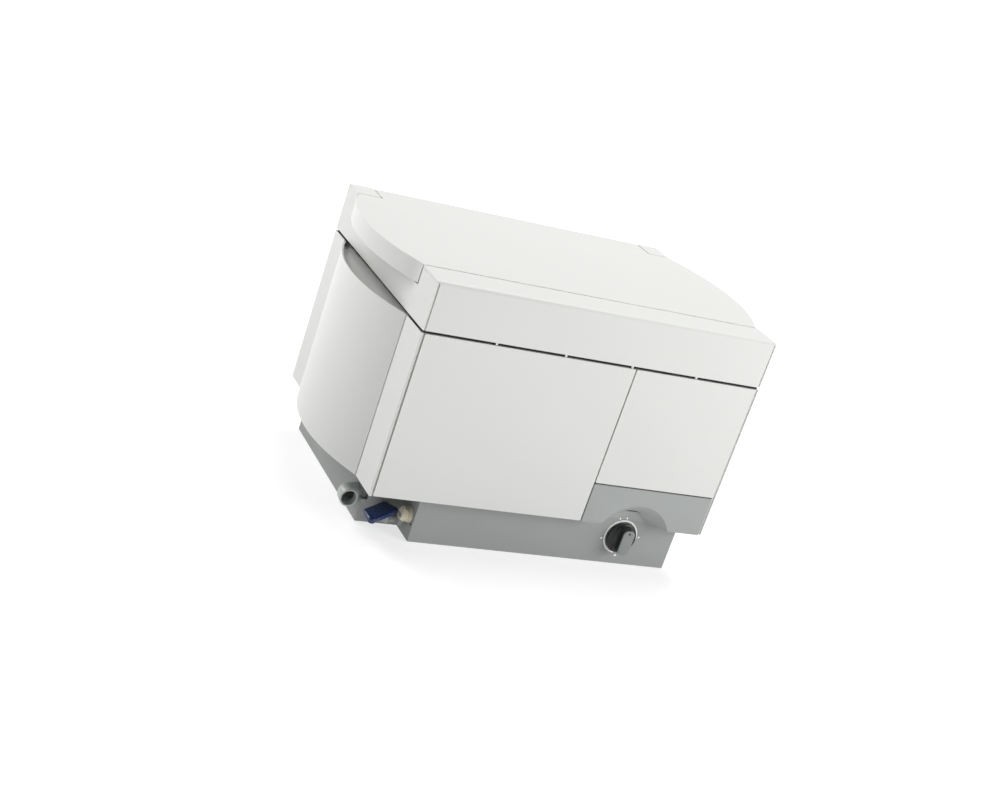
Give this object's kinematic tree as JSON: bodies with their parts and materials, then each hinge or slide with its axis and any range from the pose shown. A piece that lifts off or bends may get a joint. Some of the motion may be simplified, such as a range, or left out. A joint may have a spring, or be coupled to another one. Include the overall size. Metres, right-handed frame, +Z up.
{
  "type": "spectrophotometer",
  "caption": "Bench-top spectrophotometer with bowed sides, lift-up lid over a sample well, drop-down front door, wavelength dial, tap and drain elbow.",
  "frame": {"origin": "centre of the footprint on the bench, under the middle of the body", "axes": "+X to the right seen from the front, -Y towards the front, +Z up"},
  "size_m": [0.45, 0.287, 0.289],
  "materials": {
    "painted_panel": "satin off-white powder coat",
    "grey_plastic": "mid grey moulded, fine texture",
    "light_grey_plastic": "light grey moulded, semi gloss",
    "rubber": "matt black",
    "zinc_steel": "zinc plated sheet",
    "bright_steel": "ground steel",
    "black_paint": "matt black",
    "black_plastic": "black moulded, satin",
    "white_print": "white print",
    "brass": "machined",
    "aluminium": "machined",
    "mirror": "polished",
    "glass": "clear",
    "board": "green solder resist",
    "cream_plastic": "cream moulded",
    "blue_plastic": "dark blue moulded",
    "tube": "translucent silicone"
  },
  "bodies": {
    "case": {"left_front_post": "painted_panel", "right_front_post": "painted_panel", "left_side_cover": "painted_panel", "right_side_cover": "painted_panel", "left_rear_post": "painted_panel", "right_rear_post": "painted_panel", "rear_panel": "painted_panel", "right_panel": "painted_panel", "upper_frame": "painted_panel", "upper_front_cover": "painted_panel", "slot_spacers": "painted_panel", "deck_plate": "painted_panel", "base_tub": "grey_plastic", "control_fascia": "grey_plastic", "drain_elbow": "light_grey_plastic", "drain_nut": "light_grey_plastic", "feet": "rubber", "lid_seal": "rubber", "slot_trim": "rubber", "front_bumper": "rubber", "chassis_plate": "zinc_steel", "corner_pillars": "zinc_steel", "door_lugs": "zinc_steel", "lamp_house": "zinc_steel", "power_supply": "zinc_steel", "mirror_bracket": "zinc_steel", "hinge_pins": "bright_steel", "panel_screws": "bright_steel", "inlet_pins": "bright_steel", "front_frame": "black_paint", "sample_well": "black_paint", "monochromator_box": "black_paint", "monochromator_lid": "black_paint", "slit_plates": "black_paint", "detector": "black_paint", "fan_frame": "black_plastic", "power_inlet": "black_plastic", "dial_print": "white_print", "dial_bush": "brass", "cell_block": "aluminium", "mirrors": "mirror", "flow_cell": "glass", "lamp": "glass", "main_board": "board", "tap_body": "cream_plastic", "sample_tubes": "tube"},
    "lid": {"lid": "painted_panel"},
    "door": {"left_door": "painted_panel", "door_pins": "bright_steel"},
    "dial": {"dial_knob": "black_plastic", "dial_cap": "grey_plastic", "dial_shaft": "bright_steel", "dial_pinion": "brass"},
    "turret": {"sector_gear": "brass", "grating_shaft": "bright_steel", "grating_mount": "aluminium", "grating": "mirror"},
    "tap": {"tap_lever": "blue_plastic"},
    "fan": {"fan_rotor": "black_plastic"},
    "rocker": {"power_rocker": "black_plastic"}
  },
  "joints": [
    {"name": "lid_hinge", "type": "hinge", "parent": "case", "child": "lid", "pos_m": [0, 0.1335, 0.279], "axis": [-1, 0, 0], "range_deg": [0, 80]},
    {"name": "door_drop", "type": "hinge", "parent": "case", "child": "door", "pos_m": [-0.0759, -0.1375, 0.061], "axis": [1, 0, 0], "range_deg": [0, 90]},
    {"name": "dial_turn", "type": "hinge", "parent": "case", "child": "dial", "pos_m": [0.113, -0.1335, 0.0342], "axis": [0, 1, 0], "range_deg": [-150, 90]},
    {"name": "grating_turn", "type": "hinge", "parent": "case", "child": "turret", "pos_m": [0.113, -0.0435, 0.0902], "axis": [0, 1, 0], "range_deg": [-15, 24]},
    {"name": "tap_turn", "type": "hinge", "parent": "case", "child": "tap", "pos_m": [-0.1565, -0.103, 0.022], "axis": [0, 0, 1], "range_deg": [-20, 35]},
    {"name": "fan_spin", "type": "hinge", "parent": "case", "child": "fan", "pos_m": [-0.095, 0.1265, 0.15], "axis": [0, 1, 0], "continuous": true},
    {"name": "rocker_tip", "type": "hinge", "parent": "case", "child": "rocker", "pos_m": [0.078, 0.1365, 0.088], "axis": [1, 0, 0], "range_deg": [-14, 0]}
  ],
  "couplings": [
    {"joint": "grating_turn", "follows": "dial_turn", "ratio": -0.14286}
  ]
}
